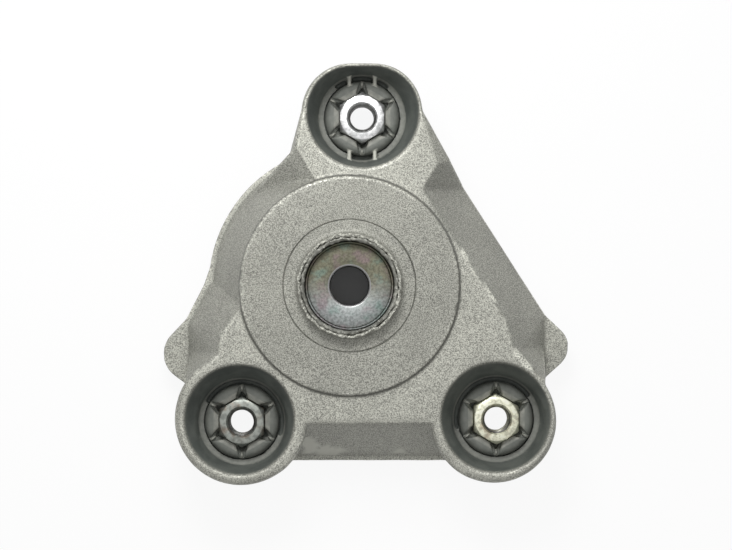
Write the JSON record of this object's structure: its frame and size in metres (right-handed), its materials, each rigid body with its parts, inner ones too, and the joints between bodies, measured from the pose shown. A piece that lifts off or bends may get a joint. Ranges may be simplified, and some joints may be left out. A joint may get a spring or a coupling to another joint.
{
  "type": "strut mount",
  "caption": "Cast aluminium upper strut mount with captive nuts in deep pockets, a raised hub and a rubber-isolated sleeve for the damper rod.",
  "frame": {"origin": "on the damper rod's axis, in the plane of the machined pads that meet the car body", "axes": "+Z along the rod axis to the strut side, +Y toward the single upper bolt, +X to the right seen from the strut side"},
  "size_m": [0.1479, 0.1506, 0.036],
  "materials": {
    "cast_aluminium": "blasted die casting, fine grain, burnished edges",
    "zinc_steel": "bright zinc plate",
    "drawn_steel": "bare drawn steel, scuffed edge",
    "rubber": "matte moulded rubber",
    "turned_steel": "turned steel",
    "passivated_steel": "iridescent yellow passivated zinc"
  },
  "bodies": {
    "housing": {"housing": "cast_aluminium", "captive_nuts": "zinc_steel", "bush_can": "drawn_steel", "rubber_bush": "rubber"},
    "rod_seat": {"inner_sleeve": "turned_steel", "rod_washer": "passivated_steel"}
  },
  "joints": [
    {"name": "rod_float", "type": "slide", "parent": "housing", "child": "rod_seat", "axis": [0, 0, 1], "range_m": [-0.0025, 0.0025], "stiffness_N_per_m": 300000, "deforming": ["rubber_bush"]}
  ]
}
